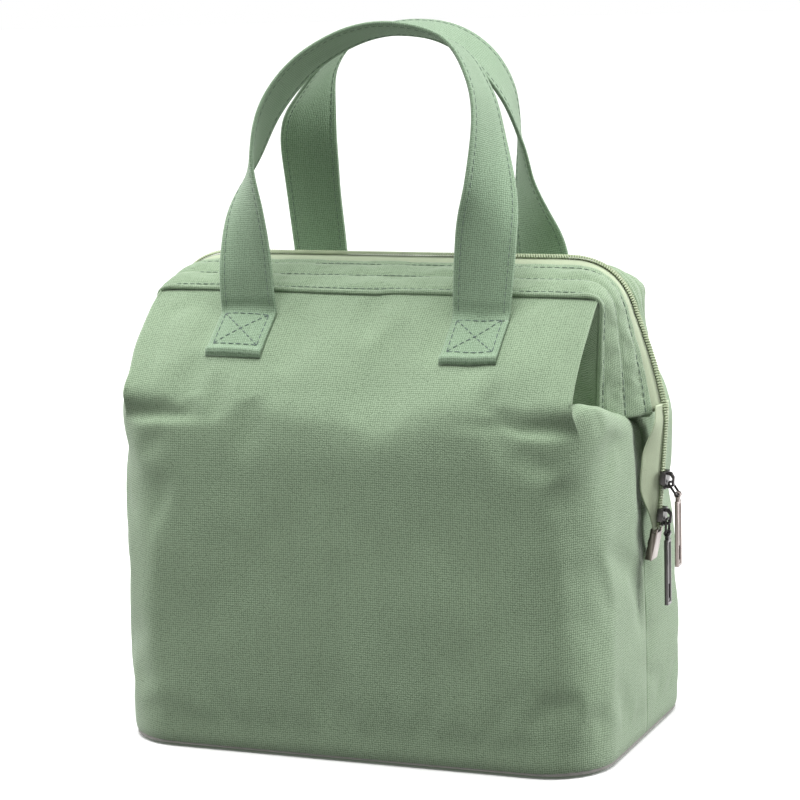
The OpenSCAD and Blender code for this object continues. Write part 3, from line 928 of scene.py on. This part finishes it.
def band_section():
    """Places (v, depth) across the band, from under its lower edge to under its upper one."""
    section = [(0.07, 2.6), (0.03, 2.3), (0.0, 1.6), (-0.014, 0.8), (-0.010, 0.0), (0.006, -0.45)]
    stops = (0.01, *BAND_ROWS, BAND_END - 0.006)
    for a, b in zip(stops, stops[1:]):
        steps = max(2, int((b - a) / 0.035))
        for k in range(steps):
            t = k / steps
            puff = 0.85 * math.sin(math.pi * t) ** 0.6 * min(1, (b - a) / 0.15)
            section.append((a + (b - a) * t, -0.15 - puff + (0.45 if k == 0 and a > 0.02 else 0)))
    return section + [(BAND_END - 0.004, -0.1), (BAND_END + 0.004, 0.35), (BAND_END, 1.1),
                      (BAND_END - 0.05, 1.7)]


def band_slip(v, side):
    """The lower edge and its row of stitches sag towards the middle, and step back up there."""
    x = BAND_SEAM[:, 0]
    slip = -0.034 * smoothstep(-70, 4, x) * smoothstep(9, 5, x) * (1 if v < 0.2 else 0)
    return slip if side == "front" else slip[::-1] * 0.6


def band_pucker(points, seed):
    return ripple(points, 6.5, seed) * 0.22 + ripple(points, 28, seed + 1) * 0.55


def make_band(side, seed):
    """Padded band over the wire: folded lower edge, puffed channels and closed feet."""
    section = band_section()
    grid = np.array([mouth_points(v + band_slip(v, side), depth) for v, depth in section])
    open_part = np.array([1.0 if d < 0.3 else 0.3 for _, d in section])[:, None]
    grid = grid + grid_normals(grid) * (band_pucker(grid, seed) * open_part)[..., None]
    ends = []
    for foot, step in ((0, 1), (-1, -1)):
        base = grid[:, foot]
        down = unit(base - grid[:, foot + step])
        hand = 1 if base[0, 0] > 0 else -1
        cap = [base + down * fall - np.array([hand * sink, 0, 0])
               for fall, sink in ((0.9, 0.15), (1.6, 1.1), (1.5, 2.6), (0.7, 4.4), (0.2, 6.0))]
        ends.append(cap)
    first = np.stack(ends[0][::-1], axis=1)
    last = np.stack(ends[1], axis=1)
    grid = np.concatenate([first, grid, last], axis=1)
    piece = grid_object(f"{side}_mouth_band", flip_side(grid, HAND[side]), CLOTH,
                        flip=HAND[side] < 0)
    flip_normals_out(piece, side)
    held = np.array([1.0 if d > 0.25 or d < -0.4 and v < 0.02 else 0.0 for v, d in section])
    pins = np.repeat(held[:, None], grid.shape[1], axis=1)
    pins[:, :7] = pins[:, -7:] = 1.0
    settle(piece, pins.ravel(), 3.0, 0.9)
    add_modifier(piece, "SUBSURF", levels=1, render_levels=1)
    add_modifier(piece, "SOLIDIFY", thickness=0.8 * MM, offset=-1)
    apply_modifiers(piece)
    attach(piece, f"{side}_frame")
    runs = []
    for v in BAND_ROWS:
        place = v + band_slip(v, side)
        line = mouth_points(place, -0.05)
        out = line - mouth_points(place, 0.95)
        line = line + out * band_pucker(line, seed)[:, None]
        runs.append((flip_side(line, HAND[side]), flip_side(out, HAND[side])))
    thread = stitches(f"{side}_band_stitches", runs, SHADE_DARKENED_THREAD)
    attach(thread, f"{side}_frame")
    return piece


def flip_normals_out(piece, side):
    """Turns the faces so that they look away from a point inside that half of the mouth."""
    mesh = piece.data
    centre = Vector((0, HAND[side] * -0.02, 0.19))
    score = sum((face.center - centre).dot(face.normal) * face.area for face in mesh.polygons)
    if score < 0:
        mesh.flip_normals()


def strip(name, section, material, side, thickness, seed, wave):
    """A thin strip round the mouth through the places (v, depth)."""
    grid = np.array([mouth_points(v, d) for v, d in section])
    grid += grid_normals(grid) * (ripple(grid, 12, seed) * wave)[..., None]
    piece = grid_object(name, flip_side(grid, HAND[side]), material, flip=HAND[side] < 0)
    flip_normals_out(piece, side)
    add_modifier(piece, "SOLIDIFY", thickness=thickness * MM, offset=-1)
    apply_modifiers(piece)
    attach(piece, f"{side}_frame")
    return piece


TOOTH_PITCH = 1.3
EDGE_SECTION = ((0.70, 1.5), (0.76, 1.3), (0.80, 0.75), (0.86, 0.6), (0.945, 0.6))
LINING_SECTION = ((0.03, 7.4), (0.2, 7.8), (0.4, 7.5), (0.6, 7.8), (0.8, 6.0), (0.84, 3.0))


def make_coil(side):
    """Nylon teeth along the frame's half of the zip."""
    inner, outer = mouth_points(0.922, -0.25), mouth_points(0.9965, -0.25)
    up = mouth_points(0.96, -0.5) - mouth_points(0.96, 0.5)
    run = lengths(outer)
    at = np.arange(TOOTH_PITCH * (0.25 if side == "front" else 0.75), run[-1], TOOTH_PITCH)
    starts, ends, ups = (flip_side(sample(v, run, at), HAND[side]) for v in (inner, outer, up))
    teeth = capsules(f"{side}_zip_coil", starts, ends, ups, 0.5, COIL, TOOTH_PROFILE)
    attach(teeth, f"{side}_frame")
    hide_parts(f"{side}_zip_chain")
    return teeth


def make_zip(side, seed):
    tape = strip(f"{side}_zip_edge", EDGE_SECTION, TAPE, side, 0.6, seed, 0.15)
    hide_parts(f"{side}_zip_tape")
    make_coil(side)
    lining = strip(f"{side}_band_foil", LINING_SECTION, FOIL, side, 0.5, seed + 3, 0.3)
    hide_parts(f"{side}_band_lining")


# ---------- zip tails ----------

TAIL_PIN = np.array([134.2, 0, 150])
TAIL_LEAN = math.radians(4.5)
TAIL_ROWS, TAIL_COLS = 30, 11
TAIL_COIL_TOP, TAIL_COIL_END = 165.0, 104.5
# height and half width of the tail
TAIL_WIDTH = ((166, 9.5), (158, 12.0), (150, 13.4), (141, 14.4), (131, 14.6), (124, 13.6),
              (116, 9.8), (109, 6.0), (103.5, 3.9))


def on_tail(points):
    """From the upright tail to its leaning place."""
    d = np.asarray(points, float) - TAIL_PIN
    c, s = math.cos(TAIL_LEAN), math.sin(TAIL_LEAN)
    turned = np.stack([d[..., 0] * c + d[..., 2] * s, d[..., 1],
                       -d[..., 0] * s + d[..., 2] * c], axis=-1)
    return turned + TAIL_PIN


def make_tail(name, hand, seed):
    line = resample(spline(TAIL_WIDTH, [4] * (len(TAIL_WIDTH) - 1)), TAIL_ROWS)
    share = np.linspace(0, 1, TAIL_COLS)
    verts, faces, uvs = [], [], []
    for way in (-1, 1):
        grid = []
        for z, wide in line:
            y = 0.9 + (wide - 0.9) * share
            flare = smoothstep(160, 140, z) * smoothstep(104, 122, z)
            x = TAIL_PIN[0] + 0.4 - (1.5 + 3.2 * flare) * (y / 12.5) ** 1.6
            x = x - 0.9 * smoothstep(156, 166, z)
            grid.append(np.stack([x, way * y, np.full(TAIL_COLS, z)], axis=1))
        grid = np.array(grid)
        grid[..., 0] += ripple(grid, 17, seed + way) * 1.1 * share
        grid[..., 1] += way * ripple(grid, 11, seed + 3) * 0.6 * share
        grid = on_tail(grid) * np.array([hand, 1, 1])
        first = len(verts)
        verts += list(grid.reshape(-1, 3))
        uvs += list(cloth_uv(grid))
        faces += [tuple(first + i for i in f) for f in grid_faces(TAIL_ROWS, TAIL_COLS, way * hand > 0)]
    piece = mesh_object(f"{name}_tail_webbing", verts, faces, TAPE, uvs)
    add_modifier(piece, "SUBSURF", levels=1, render_levels=1)
    add_modifier(piece, "SOLIDIFY", thickness=0.6 * MM, offset=0)
    apply_modifiers(piece)
    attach(piece, f"{name}_tail")
    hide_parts(f"{name}_tail_tape")
    starts, ends = [], []
    for way in (-1, 1):
        for k in range(int((TAIL_COIL_TOP - TAIL_COIL_END) / TOOTH_PITCH)):
            z = TAIL_COIL_TOP - TOOTH_PITCH * (k + (0.25 if way < 0 else 0.75))
            x = TAIL_PIN[0] + 1.55 - 1.2 * smoothstep(157, 166, z)
            starts.append((x, way * 2.5, z))
            ends.append((x, way * 0.1, z))
    flip = np.array([hand, 1, 1])
    teeth = capsules(f"{name}_tail_coil", on_tail(starts) * flip, on_tail(ends) * flip,
                     np.tile([hand, 0, 0.08], (len(starts), 1)), 0.52, COIL, TOOTH_PROFILE)
    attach(teeth, f"{name}_tail")
    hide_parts(f"{name}_tail_chain")


# ---------- handles ----------

PATCH_L = 27
STRAP_HALF = 14.5
STRAP_T = 2.2
STRAP_BACK = 60                         # the strap's back is laid beside its face in the UV map
STRAP_LEAN = math.radians(12)
STITCH_IN = 11.4                        # from the middle of the strap to each row of stitches
STRAP_X = 60
PATCH_TOP = np.array([-46.0, handle_pivot[2] - 4.0])
# x, y and height over the sewn ends of the strap's middle, and the turn of its width in degrees
ROUTES = {
    "front": ((-60, -46.5, 0, 0), (-61, -46, 20, 6), (-62, -43, 45, 30), (-60, -37, 70, 70),
              (-53, -29, 95, 86), (-36, -21, 117, 90), (-12, -17.5, 129, 90), (14, -17, 131, 90),
              (38, -18.5, 123, 90), (53, -24, 104, 94), (60, -31, 82, 104), (63, -38, 58, 128),
              (62, -43, 34, 160), (60, -46.5, 0, 180)),
    "back": ((-60, -46.5, 0, 0), (-62, -46, 25, 4), (-63, -42, 55, 10), (-61, -35, 82, 36),
             (-51, -26, 106, 78), (-32, -19.5, 124, 90), (-8, -17, 131, 90), (18, -17, 129, 90),
             (38, -20, 117, 90), (49, -26.5, 98, 98), (53, -34, 76, 112), (53, -40, 56, 126),
             (54.5, -44, 38, 148), (59, -46, 18, 174), (60, -46.5, 0, 180)),
}
SLOPE = np.array([0, math.cos(ROOF_SLOPE), math.sin(ROOF_SLOPE)])
ROOF_UP = np.array([0, -math.sin(ROOF_SLOPE), math.cos(ROOF_SLOPE)])


def strap_section():
    """Half loops of the strap's cross-section: across its width and out of its face."""
    wide = [-1.0, -0.985, -0.94, -0.87, -STITCH_IN / STRAP_HALF, -0.68, -0.4, 0]
    tall = [0.0, 0.62, 0.95, 1.0, 0.76, 1.02, 1.1, 1.12]
    face = [(w * STRAP_HALF, t * STRAP_T / 2) for w, t in zip(wide, tall)]
    face += [(-w, t) for w, t in face[-2::-1]]
    return face + [(w, -t) for w, t in face[-2:0:-1]]


def strap_rings(side):
    """Centres, width ways and face ways from one sewn end over the loop to the other."""
    route = [(x, y, z + PATCH_TOP[1] + 4.2, turn) for x, y, z, turn in ROUTES[side]]
    foot = np.array([0, *PATCH_TOP])
    patch = [foot - SLOPE * PATCH_L * f + ROOF_UP * 0.3 for f in (1.0, 0.7, 0.4, 0.12)]
    ends = [[(hand * STRAP_X, p[1], p[2], turn) for p in patch]
            for hand, turn in ((-1, 0), (1, 180))]
    start, stop = ends[0], ends[1][::-1]
    route[0] = (*route[0][:2], route[0][2] + 0.4, 0)
    controls = np.array(start + route + stop, float)
    counts = [5, 5, 4, 4] + [9] * (len(route) - 1) + [4, 4, 5, 5]
    line = spline(controls, counts)
    along = unit(np.gradient(line[:, :3], axis=0))
    turn = np.radians(line[:, 3])
    way = np.stack([np.cos(turn), -np.sin(turn) * math.cos(STRAP_LEAN),
                    np.sin(turn) * math.sin(STRAP_LEAN)], axis=1)
    way -= along * (way * along).sum(axis=1, keepdims=True)
    way = unit(way)
    return line[:, :3], way, -np.cross(along, way)


def surface_tree(piece):
    mesh = piece.data
    return BVHTree.FromPolygons([v.co[:] for v in mesh.vertices],
                                [f.vertices[:] for f in mesh.polygons])


DROP_LIMIT = 0.06                       # metres


def drop_on(tree, point, up, reach=14.0):
    """Distance from a point down to the surface below it, or None where there isn't one."""
    start = (Vector(point) + Vector(up) * reach) * MM
    hit = tree.ray_cast(start, -Vector(up), DROP_LIMIT)
    if hit[0] is None:
        return None
    return hit[3] / MM - reach


def make_handle(side, cloth, seed):
    tree = surface_tree(cloth)
    hand = HAND[side]
    centre, way, face = strap_rings(side)
    run = lengths(centre)
    from_end = np.minimum(run, run[-1] - run)
    sewn = smoothstep(PATCH_L + 5, PATCH_L - 1, from_end)
    wave = ripple(centre, 30, seed) * 0.9 * (1 - sewn)
    loop = strap_section()
    up = flip_side(ROOF_UP, hand)
    verts, uvs = [], []
    for i in range(len(centre)):
        thick = 1.0 + 0.55 * smoothstep(5.0, 3.6, from_end[i]) * smoothstep(-0.4, 0.7, from_end[i])
        thick *= 0.35 + 0.65 * smoothstep(-0.3, 0.8, from_end[i])
        crease = 0.8 * math.exp(-((from_end[i] - PATCH_L - 3.5) / 2.2) ** 2)
        for w, t in loop:
            cup = 0.9 * (w / STRAP_HALF) ** 2 * (1 - sewn[i]) * math.sin(run[i] / 41 + seed)
            rise = t * thick + wave[i] - cup - crease * (1 - 0.3 * sewn[i])
            point = flip_side(centre[i] + way[i] * w + face[i] * rise, hand)
            if sewn[i] > 0:
                fall = drop_on(tree, point, up)
                if fall is not None:
                    height = (t + STRAP_T / 2) * thick + 0.15
                    point = point + up * (height - fall) * sewn[i]
            verts.append(point)
            uvs.append((w if t >= 0 else STRAP_BACK - w, run[i]))
    rings, sides = len(centre), len(loop)
    faces = grid_faces(rings, sides, wrap=True)
    faces.append(tuple(range(sides))[::-1])
    faces.append(tuple((rings - 1) * sides + k for k in range(sides)))
    piece = mesh_object(f"{side}_strap", verts, faces, STRAP, uvs)
    recalc_normals(piece)
    bend_handle(piece)
    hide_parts(f"{side}_handle", f"{side}_strap_ends")
    ring = np.array(verts).reshape(rings, sides, 3)
    keep = from_end > PATCH_L + 1.5
    runs = []
    for sign in (1, -1):
        for w in (-STITCH_IN, STITCH_IN):
            line = ring[keep, index_at(loop, w, sign)]
            runs.append((line, flip_side(face[keep], hand) * sign))
    thread = stitches(f"{side}_strap_stitches", runs, SHADE_DARKENED_THREAD)
    bend_handle(thread)
    make_box_stitches(side, surface_tree(piece), up)


def index_at(loop, w, sign):
    """The point of the cross-section nearest to w across, on its face (1) or its back (-1)."""
    right_side = [k for k in range(len(loop)) if loop[k][1] * sign > 0]
    return min(right_side, key=lambda k: abs(loop[k][0] - w))


def bend_handle(piece):
    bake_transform(piece)


BOX_STEPS = 14


def make_box_stitches(side, tree, up):
    """A boxed cross sewn through each strap end."""
    slope = flip_side(SLOPE, HAND[side])
    foot = np.array([0, HAND[side] * PATCH_TOP[0], PATCH_TOP[1]])
    low, high = 6.0, PATCH_L - 1.5
    corners = {"a": (-STITCH_IN, low), "b": (STITCH_IN, low),
               "c": (STITCH_IN, high), "d": (-STITCH_IN, high)}
    runs = []
    for x in (-STRAP_X, STRAP_X):
        for a, b in ("ab", "bc", "cd", "da", "ac", "bd"):
            line = []
            for across, rise in np.linspace(corners[a], corners[b], BOX_STEPS):
                point = foot + slope * (rise - PATCH_L) + np.array([x + across, 0, 0])
                fall = drop_on(tree, point, up)
                line.append(point - up * (fall if fall is not None else 0))
            runs.append((np.array(line), np.tile(up, (BOX_STEPS, 1))))
    thread = stitches(f"{side}_box_stitches", runs, DARK_THREAD, 2.6, 0.8, 0.28)
    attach(thread, f"{side}_frame")


def recalc_normals(piece):
    work = bmesh.new()
    work.from_mesh(piece.data)
    bmesh.ops.recalc_face_normals(work, faces=work.faces)
    work.to_mesh(piece.data)
    work.free()


# ---------- hardware ----------

def finish_metal(node, body, material, width):
    """The CAD piece with its edges rounded as plated castings have them."""
    source = frame["nodes"][node]
    mesh = source.data.copy()
    work = bmesh.new()
    work.from_mesh(mesh)
    bmesh.ops.remove_doubles(work, verts=work.verts, dist=1e-6)
    work.to_mesh(mesh)
    work.free()
    mesh.materials.clear()
    mesh.materials.append(material)
    mesh.polygons.foreach_set("use_smooth", [True] * len(mesh.polygons))
    piece = add_object(f"{node}_plated", mesh)
    add_modifier(piece, "BEVEL", width=width * MM, segments=2, limit_method="ANGLE",
                 angle_limit=math.radians(28), harden_normals=True)
    apply_modifiers(piece)
    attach(piece, body)
    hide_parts(node)


def repaint(node, material):
    materials = frame["nodes"][node].data.materials
    materials.clear()
    materials.append(material)


# ---------- the bag ----------

make_camera()
make_lights()
make_world()
make_floor()

front_cloth = make_shell("front", 1)
back_cloth = make_shell("back", 5)
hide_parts("outer_wrap", "front_roof", "right_gusset", "left_gusset")
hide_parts("back_roof")
front_lining = make_lining("front", 1)
back_lining = make_lining("back", 5)
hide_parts("foil_liner", "foam_wrap", "front_roof_foil", "front_roof_foam")
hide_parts("back_roof_foil", "back_roof_foam")

base_panel = outline_disc("base_panel", 8.5, 0.9, CLOTH, 0.15, 3)
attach(base_panel, "bag")
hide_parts("base_cloth")
foil_floor = outline_disc("foil_floor", 6.0, 7.6, FOIL, 0.4, 8)
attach(foil_floor, "bag")
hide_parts("foam_base")

for side, seed, cloth in (("front", 11, front_cloth), ("back", 17, back_cloth)):
    band = make_band(side, seed)
    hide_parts(f"{side}_band")
    make_zip(side, seed)
    make_handle(side, cloth, seed)
    repaint(f"{side}_wire", STEEL)
    repaint(f"{side}_wire_tips", RUBBER)
repaint("base_board", BOARD)

for name, hand, seed in (("right", 1, 21), ("left", -1, 25)):
    make_tail(name, hand, seed)
    finish_metal(f"{name}_tail_clip", f"{name}_tail", NICKEL, 0.35)
for place in ("upper", "lower"):
    finish_metal(f"{place}_slider", f"{place}_slide", GUNMETAL, 0.14)
    finish_metal(f"{place}_tab", f"{place}_pull", NICKEL if place == "upper" else GUNMETAL,
                 0.22)
    repaint(f"{place}_ring", GUNMETAL)
